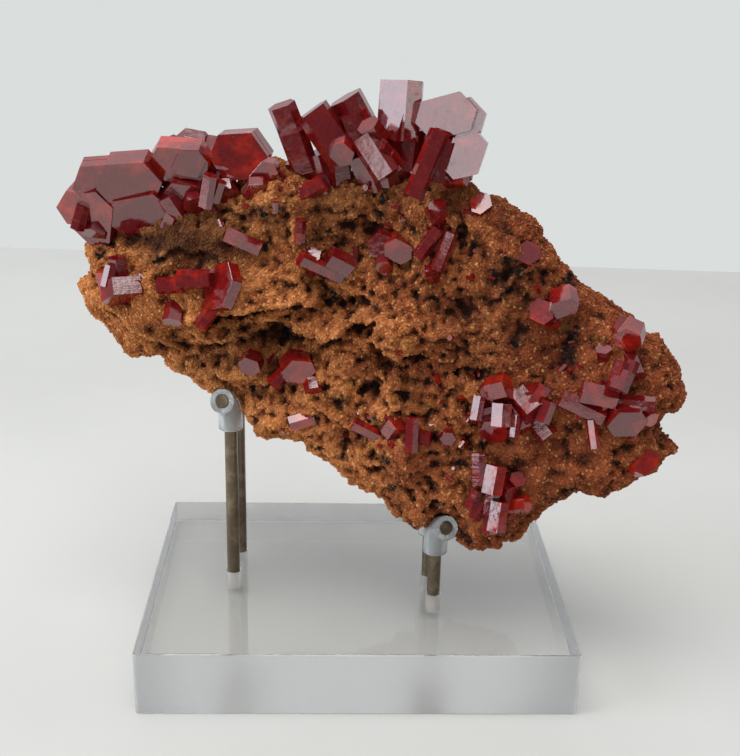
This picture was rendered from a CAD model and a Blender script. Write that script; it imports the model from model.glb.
"""Looks for the vanadinite specimen on its acrylic stand: surfaces, crystals, grains, floor and light."""

from math import cos, exp, pi, radians, sin, sqrt
from random import Random

import bmesh
import bpy
import numpy as np
from bpy.props import FloatProperty, FloatVectorProperty, IntProperty, PointerProperty
from bpy.types import Operator, Panel, PropertyGroup
from mathutils import Matrix, Vector, noise


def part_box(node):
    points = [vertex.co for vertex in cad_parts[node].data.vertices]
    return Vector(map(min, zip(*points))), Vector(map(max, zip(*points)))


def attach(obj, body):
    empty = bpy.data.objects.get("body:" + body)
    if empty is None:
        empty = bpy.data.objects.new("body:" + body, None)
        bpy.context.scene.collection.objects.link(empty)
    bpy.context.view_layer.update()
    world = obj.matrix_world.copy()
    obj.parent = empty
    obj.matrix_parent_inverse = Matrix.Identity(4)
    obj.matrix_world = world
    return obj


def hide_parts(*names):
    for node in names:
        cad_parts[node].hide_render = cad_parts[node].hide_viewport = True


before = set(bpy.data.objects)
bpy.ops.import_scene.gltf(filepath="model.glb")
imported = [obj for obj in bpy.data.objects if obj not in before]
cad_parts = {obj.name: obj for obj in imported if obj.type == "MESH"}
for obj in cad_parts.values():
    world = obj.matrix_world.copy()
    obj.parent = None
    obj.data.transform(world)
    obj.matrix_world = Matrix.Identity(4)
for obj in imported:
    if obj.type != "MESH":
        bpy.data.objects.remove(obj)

bl_info = {
    "name": "Vanadinite Specimen",
    "version": (1, 0, 0),
    "blender": (4, 5, 0),
    "location": "View3D > Sidebar > Specimen",
    "description": "Builds a vanadinite specimen on an acrylic stand around its packed solids",
    "category": "Object",
}

MM = 0.001
BODY = "root"

# ---------------------------------------------------------------- places (mm, degrees), as in the solids
BLOCK_WIDTH = 101.6
BLOCK_DEPTH = 76.2
BLOCK_HEIGHT = 15.9
HOLE_DEPTH = 11.0
ROD_RADIUS = 1.5875
SLEEVE_RADIUS = 2.95
FIT_GAP = 0.3
BEND_RADIUS = 8.5
BEND_ANGLE = 70.0
# for each prong: foot x, foot y, height where the bend begins, compass direction of the bend
PRONGS = {
    "front_left": (-31.1, 0.0, 56.0, -104.0),
    "front_right": (18.9, -10.7, 28.5, -72.0),
    "rear_left": (-30.1, 10.5, 56.0, 82.0),
    "rear_right": (18.2, -1.4, 28.5, 76.0),
}
SLEEVE_START = -1.0
ROD_TIP = 0.5
SPECIMEN_HEIGHT = 70.0
SPECIMEN_TURN = -11.0
SPECIMEN_LEAN = -4.0

# Six-sided prisms in the specimen's axes: the middle of the free end (x, z, front), the width across
# the three pairs of faces, the length, heading and rise of the free end in degrees, and the spin.
CRYSTALS = {
    "crystals_upper_left": [
        (-52.3, 42.7, 12, (13.4, 11.2, 13), 6.5, 291, 67, 14, 0.45), (-51.4, 42, 8, 8, 8, 285, 62, 5, 0.4),
        (-58.9, 41.9, 11, (12, 11.2, 12.5), 4.6, 291, 66, 14, 0.5),
        (-51.2, 35.8, 9.6, (14.1, 9.4, 12.4), 5, 283, 63, 30, 0.3),
        (-67.3, 36.1, 8, (8.3, 9.1, 7.3), 5, 260, 67, 33, 0.75),
        (-62.4, 34.2, 9, (13.7, 13.2, 9.4), 7, 245, 66, 68, 0.6),
        (-41.3, 47.7, 10, (12.9, 8.7, 12.1), 5, 283, 64, 14, 0.9),
        (-38.6, 48.1, 10.9, (8.4, 7.5, 6.5), 2.4, 280, 63, 20, 0.3), (-40, 46, 6.5, 8, 9, 275, 45, 10, 0.2),
        (-27.9, 50.1, 8.5, (11.6, 10.4, 12), 6, 276, 84, 30, 0.55), (-28, 47, 4, 8, 8, 275, 45, 10, 0.3),
        (-40.3, 39.5, 8.5, (10, 9, 10), 8, 280, 60, 10, 0.12), (-44.5, 40.6, 9.5, 4.5, 7, 120, 15, 30, 0.1),
        (-37.3, 38.7, 9.8, 5, 7, 300, 45, 10, 0.1), (-42.3, 37, 9, 4.5, 6, 60, 25, 20, 0.1),
        (-30.1, 41.3, 9, 4.5, 7, 300, 45, 10, 0.2), (-33.1, 46.2, 12, (3.2, 3, 3.6), 7.5, 78, 8, 5, 0.3),
        (-31.1, 44.8, 11, 2.6, 5, 70, 10, 0, 0.3), (-64.2, 37.4, 9.5, 3.2, 6, 70, 5, 20, 0.15),
        (-66.5, 32.2, 8, 3.6, 5, 235, 10, 30, 0.4), (-62.9, 29.9, 7.5, 6, 6, 260, 40, 0, 0.4),
        (-45, 44.5, 6, 8, 9, 270, 50, 0, 0.2), (-35, 45, 5.5, 8, 9, 275, 50, 15, 0.2),
        (-57, 38, 6.5, 8, 9, 270, 50, 25, 0.2), (-21.6, 46.6, 10, (6.7, 6.3, 4.5), 3.2, 281, 72, 9, 0.6),
        (-23.2, 42.8, 11.5, (6.2, 4.8, 4.2), 2.6, 283, 52, 20, 0.45),
    ],
    "crystals_upper_right": [
        (-18.7, 61.8, 6, (5.6, 4.6, 5.6), 8, 110, 16, 30, 0.35),
        (-15.7, 56.3, 8, (5.6, 4.4, 5.6), 9.5, 108, 14, 30, 0.3),
        (-11.2, 61.1, 9, (6.9, 4.6, 6.9), 12.5, 125, 10, 50, 0.25),
        (-3.8, 52, 11, (4.8, 5.4, 5), 6, 273, 66, 40, 0.4), (-4.7, 63.9, 4, 7.2, 15, 120, 10, 0, 0.35),
        (-2.7, 60.9, 6, 6, 10, 110, 10, 20, 0.2), (1.7, 58.8, 11, (4.8, 4, 4.4), 5, 122, 36, 20, 0.5),
        (4.5, 54.5, 11.2, (3.6, 3, 3.4), 7, 128, 30, 15, 0.35),
        (0.6, 55.9, 10, (5.4, 4.6, 5.4), 10, 127, -8, 30, 0.2),
        (7.7, 67.9, 3, (9.5, 5.8, 9.1), 13, 89, -6, 2, 0.35), (6.1, 57.8, 5, 6, 8, 95, 5, 10, 0.1),
        (10.2, 57.9, 4, 6, 9, 85, 5, 30, 0.15), (8.4, 60.9, 6, (4, 3, 3.6), 6, 75, -10, 5, 0.3),
        (18.2, 61.1, 8, (11.5, 8.7, 12.1), 4.5, 263, 94, 54, 0.35),
        (20.6, 60.2, 4.5, (10.5, 8.2, 11), 4.5, 263, 94, 54, 0.3),
        (16.5, 57.5, 1.5, 8, 9, 90, 20, 10, 0.25),
        (23.2, 53.2, 12, (10.4, 8.6, 7.4), 4.5, 263, 93, 52, 0.4), (21.8, 51, 6.5, 5.5, 6, 80, 60, 20, 0.3),
        (17.7, 58.3, 14, (3.9, 2.8, 3.9), 15, 70, 4, 34, 0.35), (19.2, 56.2, 10.5, 4.4, 9, 80, 5, 30, 0.12),
        (23.3, 48.5, 8, (4, 3.4, 4), 5, 10, 20, 30, 0.7), (-0.2, 52.7, 6, 7, 9, 110, 20, 10, 0.12),
        (-10.4, 51.7, 5, 6, 8, 105, 10, 10, 0.15), (-6, 50.2, 5, 6, 8, 95, 15, 0, 0.15),
        (-15.1, 49.6, 4.5, 5.5, 7, 105, 10, 0, 0.3), (6.9, 53.9, 3, 7, 8, 90, 20, 0, 0.1),
        (4.7, 51.2, 6, 5, 6, 100, 20, 10, 0.15),
    ],
    "crystal_right_shoulder": [(26.9, 42.9, 8.5, (4.6, 5.4, 4.2), 4, 85, 50, 20, 0.55)],
    "crystals_left_tip": [
        (-53, 16.9, 14, (10.1, 7.9, 8.8), 4.2, 287, 27, 1, 0.4),
        (-58.7, 22.9, 12.5, (3.8, 3.4, 4.2), 6, 100, 5, 15, 0.9),
        (-55.4, 26.3, 12.5, 3.8, 8, 95, 8, 12, 0.15), (-56.3, 24.4, 13.5, 2.8, 5, 80, -15, 5, 0.3),
    ],
    "crystals_left_bar": [
        (-32, 23.4, 15.5, (4, 3.6, 4), 8, 6, 5, 30, 0.4),
        (-31.6, 21.6, 15.2, (13.4, 10.4, 12.4), 2.8, 155, 42, 156, 0.45),
        (-35, 11.9, 15.8, (3, 2.8, 3.2), 5.5, 237, 20, 15, 0.55),
        (-39.1, 21.5, 14.5, (3.4, 3, 3.4), 6, 8, 3, 26, 0.55), (-26.9, 24.9, 13.5, 5, 6, 80, 20, 10, 0.15),
    ],
    "crystal_under_the_bar": [(-41.5, 12.6, 15.2, (4.2, 3.4, 4), 4.5, 272, 40, 0, 0.4)],
    "crystal_upper_ledge": [(-29.6, 33.2, 12.5, (3.4, 3.4, 3), 8.5, 158, 8, 20, 0.4)],
    "crystals_white_ended": [
        (-12, 29.2, 14.5, (3.2, 2.9, 3.2), 11.5, 149, 33, 30, 0.45),
        (-10.1, 29.8, 12, 4.4, 5, 90, 40, 0, 0.2), (-6.4, 29.4, 10.8, (5, 4.4, 5), 6, 150, 25, 20, 0.15),
    ],
    "crystal_needle_left": [(-12.3, 37.7, 13, 2.2, 5.5, 85, 10, 30, 0.45)],
    "crystals_bowl": [
        (5.1, 32, 9, (5.4, 5.6, 5.4), 5, 269, 80, 17, 0.5),
        (9.3, 31.3, 10, (5, 6.1, 6), 5, 300, 74, 31, 0.5),
        (6.3, 27.5, 10.5, (3.4, 3.2, 3.6), 4, 285, 60, 20, 0.45),
    ],
    "crystals_fins": [
        (18.3, 37.3, 11.5, (2.8, 2.4, 2.8), 8, 57, 5, 22, 0.25), (17.7, 42.4, 12, 3.8, 5, 100, 35, 0, 0.3),
        (21.2, 36.7, 12, (2.8, 2.4, 2.8), 9, 72, 0, 22, 0.25), (17, 28.6, 11.5, 3, 4, 100, 40, 0, 0.3),
    ],
    "crystal_brow": [(-7.6, 45.8, 10, (3.4, 3, 3.4), 9, 30, 5, 24, 0.4)],
    "crystals_right_shelf": [
        (41.8, 20.2, 10.8, (5, 6, 5.4), 6, 125, 56, 35, 0.6),
        (46.7, 21.3, 11.6, (6.3, 4.6, 5.9), 5, 289, 61, 33, 0.55),
    ],
    "crystal_dark": [(38, 33, 10.6, (5.4, 4.8, 4.8), 4, 81, 67, 17, 0.3)],
    "crystals_tip_upper": [
        (60.1, 18.2, 10, (4.9, 4, 4), 5, 61, 55, 60, 0.6),
        (60.9, 15.3, 12, (6, 5.7, 5.5), 4.5, 244, 62, 37, 0.7),
    ],
    "crystals_right_tip": [
        (60, 11.1, 14.2, (3, 2.6, 2.8), 5, 76, -20, 4, 0.3),
        (62.6, 11.1, 13.4, (2.6, 2.4, 2.6), 5, 72, -20, 4, 0.3),
        (60.8, 9, 14.6, (4.2, 3.4, 3.8), 4.6, 70, -26, 8, 0.25), (63.5, 6.9, 12, 4.6, 6, 300, 40, 0, 0.3),
        (51.8, 3.6, 14.2, (4.8, 4.4, 4.8), 8, 172, 6, 8, 0.6),
        (47.6, 1.4, 13.4, (3.8, 3.2, 3.8), 10.5, 157, 3, 26, 0.35),
        (57.2, 3.6, 13.5, 4.5, 6, 30, 40, 0, 0.35), (68.1, 1.3, 13, (3.4, 3, 3.4), 9.5, 2, 5, 24, 0.4),
        (62.5, -3, 15, (8.2, 7, 7.2), 5, 290, 66, 12, 0.5),
        (67.9, -2.5, 11.8, (3.4, 4.2, 3.4), 5, 330, 45, 0, 0.95),
        (55.3, 0.8, 12.6, 4.5, 7, 200, 40, 10, 0.3), (54.5, -2.9, 14, (2, 1.8, 2), 6.5, 102, -12, 25, 0.45),
    ],
    "crystal_tip_small": [(56, 12.9, 11.2, (3.4, 3, 3.2), 5, 100, 30, 10, 0.3)],
    "crystal_tip_low": [(68, -13.3, 10, (6.6, 6, 4.2), 4, 39, 50, 60, 1.0)],
    "crystals_centre": [
        (35.9, 2.9, 12.5, (5.4, 4.6, 5.4), 5, 24, 22, 25, 0.65),
        (31.7, 1.2, 12, (4.4, 4.2, 4.4), 5, 120, 45, 0, 0.4),
        (29.5, 0.1, 12.8, (2.6, 2.4, 2.8), 5.5, 84, -18, 5, 0.3),
        (34.7, -0.8, 14, (4.4, 4, 4.4), 5.2, 91, -17, 3, 0.4),
        (27.9, -5.4, 11.5, (3, 3, 3.4), 6, 197, 10, 0, 0.5),
        (33.3, -8.2, 12.6, (6.4, 6.6, 6.2), 6, 262, 64, 50, 0.35),
        (45, 0.3, 13, (3.4, 3.2, 3.4), 5, 74, -16, 8, 0.4),
        (42.6, -2.6, 14, (5.6, 5, 5.6), 7, 325, 42, 10, 0.4),
        (40.6, -6.9, 13, (4.2, 3.8, 4.2), 6, 300, 35, 20, 0.4),
        (45.7, -8.3, 12.6, (4.2, 3.8, 4.2), 8, 315, 20, 24, 0.25),
        (43.9, 3.5, 12.2, (2.8, 2.6, 2.8), 5, 60, -15, 5, 0.5),
        (38, -3.2, 14, (2, 2, 2.2), 5, 88, -16, 5, 0.4),
        (41, 2.6, 11.6, (4.2, 3.6, 4.2), 6, 115, 20, 24, 0.45), (36.8, -2, 10.8, 7, 6, 90, 60, 20, 0.1),
    ],
    "crystals_low": [
        (34.4, -15.4, 14.6, (4.7, 4.2, 4.5), 6.5, 84, -14, 4, 0.35),
        (39.5, -18.8, 13.2, (3.6, 3.2, 3.4), 4.5, 60, 58, 15, 0.45),
        (30.2, -22.8, 12.2, (2.8, 2.6, 2.8), 4.5, 74, -16, 6, 0.4),
        (31.8, -25.4, 12.4, (2.8, 2.6, 2.8), 4.5, 66, -16, 6, 0.4),
        (34, -22.8, 13.4, (3.2, 3, 3.2), 5, 84, -12, 5, 0.35),
        (35.8, -24.1, 14.4, (4.2, 3.8, 4.2), 7, 86, -13, 4, 0.45),
        (42.1, -24.8, 12.4, (3.6, 3.2, 3.6), 6, 22, 25, 10, 0.9), (37, -19.8, 12, 5, 7, 80, 20, 10, 0.15),
        (34.1, -27.6, 13, (3.2, 3, 3.2), 5, 84, -8, 6, 0.5),
        (30.1, -13.3, 13, (3, 2.7, 3), 7.5, 95, -13, 4, 0.4),
    ],
    "crystal_mid_bar": [(0.8, -9, 12.6, (3, 2.8, 3), 6.5, 152, 12, 26, 0.45)],
    "crystals_mid_pair": [
        (11.3, -7.4, 13, (4.4, 4, 4.4), 4.5, 60, 22, 5, 0.6),
        (14.6, -6, 13.6, (2.9, 2.6, 2.9), 8, 91, -8, 14, 0.45),
        (19, -11.1, 12.8, (3.2, 2.8, 3.2), 6, 358, 10, 24, 0.35),
    ],
    "crystal_mid_button": [(22.9, -11, 12.2, 3.4, 3, 300, 75, 0, 0.4)],
    "crystal_cave_left": [(-24.2, 2.4, 12, (4.8, 4.4, 4.8), 4, 270, 72, 10, 0.25)],
    "crystals_cave": [
        (-12.2, 2.4, 12.8, (5.6, 6.2, 7.2), 6, 330, 66, 20, 0.55),
        (-19, -2.1, 10.8, (3.2, 3, 3.2), 8, 228, 20, 24, 0.5), (-8.6, -2.2, 12.6, 3.6, 6, 300, 45, 0, 0.4),
    ],
    "crystal_below_the_cave": [(-14.3, -10.4, 12.8, (3.6, 3.2, 3.6), 6, 196, 20, 10, 0.65)],
}

# black oxide spots on the rock: x, z, radius (mm, specimen axes)
BLACK_SPOTS = [
    (-61.5, 25.5, 1.6), (-59.5, 28, 1.2), (-57, 23.5, 1.6), (-45.5, 26.5, 1.6), (-21.5, 38.5, 1.6),
    (-17.5, 39, 1.4), (-29, 32, 1.3), (-6.5, 34, 1.4), (5, 38.5, 2.2), (5.5, 42, 1.6), (16.5, 34, 2),
    (26, 33.5, 1.2), (31, 27, 2.4), (33.5, 31, 1.8), (36.5, 28, 2.2), (43.5, 35.5, 2.2), (34.5, 24, 1.8),
    (47.5, 26, 2.2), (54.5, 24.5, 1.2), (29.5, 4.5, 2.2), (49, 15, 1.8), (48.5, 9.5, 2), (36.5, 12, 1.6),
    (6, -8, 1.2), (26, -17, 1.8), (9, -16.5, 1.4), (-2, -4, 1.3), (4, -0.5, 2), (-24.5, -4, 2),
    (-23.5, -10.5, 1.4), (-9, -17, 1.6), (-1.5, -18, 1.6), (10.5, -24.5, 1.6), (11, -29.5, 1.4),
    (15, -35.5, 1.5), (27.5, -36, 1.6), (29, -38, 1.4), (41, -38, 1.2), (37.5, -29.5, 1.4),
    (47.5, -25.5, 1.4), (51, -24, 1.6), (51.5, -21.5, 1.4), (57, -24.5, 1.4), (59.5, -22.5, 1.2),
    (-18, 9.5, 3), (-17.5, 1, 3), (-5.5, 19.5, 2.2), (9.5, 50, 4), (19.5, 30, 1.6),
]


# ---------------------------------------------------------------- sizes and colours that a user may change
def colour_property(name, description, default):
    return FloatVectorProperty(name=name, description=description, subtype="COLOR", size=3, default=default)


class SpecimenSettings(PropertyGroup):
    """Sizes and colours of the specimen and its stand."""

    rock_voxel: FloatProperty(name="Rock voxel", description="Size of the rock's finest facets",
                              default=0.00048, min=0.0003, unit="LENGTH")
    rock_faces: IntProperty(name="Rock facets", description="Triangles kept on the rock", default=194000)
    grain_batches: IntProperty(name="Grain pieces", description="Pieces that hold the grains", default=4)
    grain_density: FloatProperty(name="Grain density", default=900000.0,
                                 description="Most grains on a square metre, in a piece")
    grain_smallest: FloatProperty(name="Smallest grain", description="Width of the smallest grains",
                                  default=0.00030, unit="LENGTH")
    grain_largest: FloatProperty(name="Largest grain", description="Width of the largest grains",
                                 default=0.00075, unit="LENGTH")
    sprinkle_density: FloatProperty(name="Small crystals", default=90000.0,
                                    description="Most small crystals on a square metre")
    rock_light: colour_property("Rock, raised", "Colour of the rock's raised grains", (0.95, 0.395, 0.125))
    rock_mid: colour_property("Rock", "Main colour of the rock", (0.37, 0.096, 0.028))
    rock_dark: colour_property("Rock, sunken", "Colour in the rock's pits", (0.022, 0.006, 0.003))
    crystal_deep: colour_property("Crystal, deep", "Body colour of the crystals", (0.26, 0.009, 0.012))
    crystal_bright: colour_property("Crystal, thin", "Colour where a crystal is thin", (0.80, 0.032, 0.008))
    rod_colour: colour_property("Rod", "Colour of the bronzed rods", (0.16, 0.12, 0.08))
    edge_width: FloatProperty(name="Crystal edge", description="Width of the crystals' worn edges",
                              default=0.00009, unit="LENGTH")
    tube_sides: IntProperty(name="Tube sides", description="Sides of a rod or a sleeve", default=40)


def settings():
    return bpy.context.scene.specimen_settings


# ---------------------------------------------------------------- shader maths as expressions
class Value:
    """A socket of a node tree, so that sums on it add Math nodes."""

    def __init__(self, tree, socket):
        self.tree = tree
        self.socket = socket

    def _math(self, operation, a, b):
        return self.tree.add("ShaderNodeMath", {"operation": operation}, {0: a, 1: b})

    def __add__(self, other):
        return self._math("ADD", self, other)

    __radd__ = __add__

    def __sub__(self, other):
        return self._math("SUBTRACT", self, other)

    def __rsub__(self, other):
        return self._math("SUBTRACT", other, self)

    def __mul__(self, other):
        return self._math("MULTIPLY", self, other)

    __rmul__ = __mul__

    def clamped(self):
        return self.tree.add("ShaderNodeClamp", {}, {"Value": self})

    def between(self, low, high):
        """0 below low, 1 above high, smooth in between."""
        return self.tree.add("ShaderNodeMapRange", {"interpolation_type": "SMOOTHSTEP"},
                             {"Value": self, "From Min": low, "From Max": high})


class MaterialTree:
    """Builds one material's nodes."""

    def __init__(self, name):
        self.material = bpy.data.materials.new(name)
        self.material.use_nodes = True
        self.nodes = self.material.node_tree.nodes
        self.links = self.material.node_tree.links
        self.shader = self.nodes["Principled BSDF"]

    def add(self, kind, options, inputs):
        """Adds a node: its settings first, then its sockets' values or links."""
        node = self.nodes.new(kind)
        for key, value in options.items():
            setattr(node, key, value)
        for key, value in inputs.items():
            self.feed(node.inputs[key], value)
        return Value(self, node.outputs[0])

    def feed(self, socket, value):
        """Links a value to a socket, or sets the socket to a number or to a colour of three parts."""
        if isinstance(value, Value):
            self.links.new(value.socket, socket)
        elif isinstance(value, tuple):
            socket.default_value = (*value, 1.0)
        else:
            socket.default_value = value

    def mix(self, factor, a, b):
        """Colours a and b mixed by a factor."""
        node = self.nodes.new("ShaderNodeMix")
        node.data_type = "RGBA"
        for socket, value in ((node.inputs[0], factor), (node.inputs[6], a), (node.inputs[7], b)):
            self.feed(socket, value)
        return Value(self, node.outputs[2])

    def place(self):
        return Value(self, self.nodes.new("ShaderNodeTexCoord").outputs["Object"])

    def noise(self, size, detail, rough, where=None):
        """Cloudy variation whose patches are about size metres across."""
        return self.add("ShaderNodeTexNoise", {},
                        {"Vector": where or self.place(), "Scale": 1.0 / size,
                         "Detail": detail, "Roughness": rough})

    def attribute(self, name):
        node = self.nodes.new("ShaderNodeAttribute")
        node.attribute_name = name
        return Value(self, node.outputs["Fac"])

    def bump(self, height, distance, strength):
        return self.add("ShaderNodeBump", {}, {"Height": height, "Distance": distance, "Strength": strength})

    def finish(self, **sockets):
        """Sets the shader's sockets, named with _ for a space, and hands the material over."""
        for name, value in sockets.items():
            self.feed(self.shader.inputs[name.replace("_", " ")], value)
        return self.material


# ---------------------------------------------------------------- materials
LAYER_SIZE = 0.45
CRYSTAL_INDEX = 1.95
ACRYLIC_INDEX = 1.49
VINYL_INDEX = 1.5
ROCK_GLOSS = 0.25
SAWN_ROUGHNESS = 0.62
COOL_LIGHT = (0.52, 0.140, 0.048)
COOL_MIDDLE = (0.21, 0.048, 0.016)
SPARK = (1.0, 0.55, 0.22)
OCHRE = (0.52, 0.25, 0.06)
SHADED_ROCK = (0.045, 0.011, 0.005)
BLACK_OXIDE = (0.004, 0.004, 0.005)
PALE_FLAW = (0.55, 0.22, 0.18)
SMALL_CRYSTAL_RED = (0.34, 0.012, 0.006)
ACRYLIC = (0.992, 0.993, 0.985)
VINYL = (0.90, 0.93, 0.93)
WORN_BRONZE = (0.30, 0.235, 0.16)
TABLE_LIGHT = (0.68, 0.675, 0.64)
TABLE_DARK = (0.635, 0.63, 0.595)


def rock_material(name):
    """Brown rock: pale on what stands out, dark in the pits, with ochre patches and black oxide."""
    s = settings()
    tree = MaterialTree(name)
    hollow = tree.attribute("hollow")
    crease = tree.attribute("crease")
    black = tree.attribute("black")
    warm = tree.attribute("warm")
    tint = tree.attribute("tint")
    patches = tree.noise(0.007, 5, 0.6).between(0.38, 0.62)
    speckle = tree.noise(0.0009, 4, 0.7).between(0.36, 0.64)
    light = tree.mix(warm, COOL_LIGHT, tuple(s.rock_light))
    middle = tree.mix(warm, COOL_MIDDLE, tuple(s.rock_mid))
    raised = (0.25 - hollow * 0.55 - crease * 1.6).clamped()
    spark = tint * tint * tint
    grain = tree.mix((patches * 0.35 + speckle * 0.35 + spark * 0.6 + raised * 0.4 - 0.2).clamped(),
                     middle, light)
    grain = tree.mix(spark.between(0.55, 1.0) * 0.45, grain, SPARK)
    sunken = (hollow * 0.56 + crease * 2.2 + (speckle - 0.5) * 0.6).between(0.0, 1.05)
    colour = tree.mix(sunken, grain, tuple(s.rock_dark))
    ochre = tree.noise(0.004, 3, 0.6).between(0.6, 0.72)
    colour = tree.mix(ochre * 0.55, colour, OCHRE)
    shade = tree.attribute("shade")
    colour = tree.mix(shade * 0.85, colour, SHADED_ROCK)
    colour = tree.mix(black, colour, BLACK_OXIDE)
    bump = tree.bump(tree.noise(0.0005, 4, 0.75), 0.00045, 1.0)
    return tree.finish(Base_Color=colour, Roughness=0.92 - black * 0.45, Normal=bump,
                       Specular_IOR_Level=ROCK_GLOSS)


def crystal_material(name, deep, bright, clear):
    """Resinous red crystal: tone 0 is the deep body, tone 1 a thin or lit stretch."""
    tree = MaterialTree(name)
    tone = tree.attribute("tone")
    cloud = tree.noise(0.0045, 3, 0.55).between(0.35, 0.7)
    streak = tree.noise(0.0011, 4, 0.6).between(0.4, 0.8)
    glow = (tone * 1.25 + cloud * 0.6 - 0.48).clamped()
    colour = tree.mix(glow * glow, deep, bright)
    layers = tree.noise(LAYER_SIZE, 3, 0.65, tree.attribute("along"))
    colour = tree.mix(layers.between(0.5, 0.72) * 0.45, colour, tuple(c * 0.35 for c in deep))
    colour = tree.mix(streak * 0.45, colour, tuple(c * 0.3 for c in deep))
    flaw = tree.noise(0.0007, 3, 0.6).between(0.66, 0.72)
    colour = tree.mix(flaw * 0.25, colour, PALE_FLAW)
    ripple = tree.noise(0.0016, 3, 0.5)
    rough = 0.05 + 0.2 * ripple.between(0.45, 0.8)
    step = tree.noise(0.0009, 2, 0.4) + tree.noise(0.0035, 2, 0.4) * 3.0 + layers * 0.8
    bump = tree.bump(step, 0.00003, 0.4)
    return tree.finish(Base_Color=colour, Roughness=rough, Normal=bump, IOR=CRYSTAL_INDEX,
                       Transmission_Weight=clear)


def acrylic_material():
    """Clear and a little scuffed, with sawn sides that are frosted."""
    tree = MaterialTree("clear_acrylic")
    frost = tree.attribute("frost")
    scuff = tree.noise(0.006, 5, 0.6).between(0.55, 0.8)
    rough = frost * SAWN_ROUGHNESS + scuff * 0.02
    grain = tree.noise(0.0006, 3, 0.6)
    bump = tree.bump(grain * frost, 0.00006, 0.8)
    return tree.finish(Base_Color=ACRYLIC, Roughness=rough, Normal=bump, IOR=ACRYLIC_INDEX,
                       Transmission_Weight=1.0)


def vinyl_material():
    tree = MaterialTree("clear_vinyl")
    haze = tree.noise(0.002, 3, 0.5).between(0.3, 0.8)
    return tree.finish(Base_Color=VINYL, Roughness=0.12 + haze * 0.12, IOR=VINYL_INDEX,
                       Transmission_Weight=0.75)


def rod_material():
    tree = MaterialTree("bronzed_steel")
    wear = tree.noise(0.0025, 5, 0.6).between(0.4, 0.75)
    colour = tree.mix(wear, tuple(settings().rod_colour), WORN_BRONZE)
    bump = tree.bump(tree.noise(0.0008, 3, 0.6), 0.00002, 0.5)
    return tree.finish(Base_Color=colour, Roughness=0.28 + wear * 0.2, Metallic=0.9 + wear * 0.1, Normal=bump)


def floor_material():
    tree = MaterialTree("pale_table")
    cloud = tree.noise(0.12, 4, 0.5).between(0.3, 0.7)
    colour = tree.mix(cloud, TABLE_DARK, TABLE_LIGHT)
    return tree.finish(Base_Color=colour, Roughness=0.55)


# ---------------------------------------------------------------- mesh helpers
JOIN_DISTANCE = 0.000005


def clamp(value, low=0.0, high=1.0):
    return max(low, min(high, value))


def add_object(name, data):
    item = bpy.data.objects.new(name, data)
    bpy.context.scene.collection.objects.link(item)
    return item


def add_piece(name, mesh, material, replaces):
    """A finished piece: its material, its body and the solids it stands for."""
    mesh.materials.clear()
    mesh.materials.append(material)
    piece = add_object(name, mesh)
    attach(piece, BODY)
    if replaces:
        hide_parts(*replaces)
    return piece


def mesh_of(form, name):
    """The edited form as a mesh of its own."""
    mesh = bpy.data.meshes.new(name)
    form.to_mesh(mesh)
    form.free()
    return mesh


def specimen_matrix():
    """From the specimen's axes to the world's, in metres."""
    turn = Matrix.Rotation(radians(SPECIMEN_TURN), 4, "Z")
    lean = Matrix.Rotation(radians(SPECIMEN_LEAN), 4, "X")
    return Matrix.Translation((0, 0, SPECIMEN_HEIGHT * MM)) @ turn @ lean


def merged_copy(node):
    """A CAD node's mesh with its loose triangles joined up."""
    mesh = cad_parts[node].data.copy()
    form = bmesh.new()
    form.from_mesh(mesh)
    bmesh.ops.remove_doubles(form, verts=form.verts, dist=JOIN_DISTANCE)
    form.to_mesh(mesh)
    form.free()
    return mesh


def store_values(mesh, name, values):
    """One number at each vertex, under a name that the materials read."""
    layer = mesh.attributes.new(name, "FLOAT", "POINT")
    layer.data.foreach_set("value", values)


def evaluated_mesh(item):
    graph = bpy.context.evaluated_depsgraph_get()
    return bpy.data.meshes.new_from_object(item.evaluated_get(graph))


def reworked(mesh, kind, **options):
    """The mesh as one modifier leaves it."""
    carrier = add_object("carrier", mesh)
    modifier = carrier.modifiers.new("rework", kind)
    for key, value in options.items():
        setattr(modifier, key, value)
    result = evaluated_mesh(carrier)
    bpy.data.objects.remove(carrier, do_unlink=True)
    return result


# ---------------------------------------------------------------- the rock
LIP_SCALE = 1.3
LIP_REACH = 8
LIP_END = 2.5
LIP_CREST = 0.35
LIP_BROW = 0.5

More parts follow.
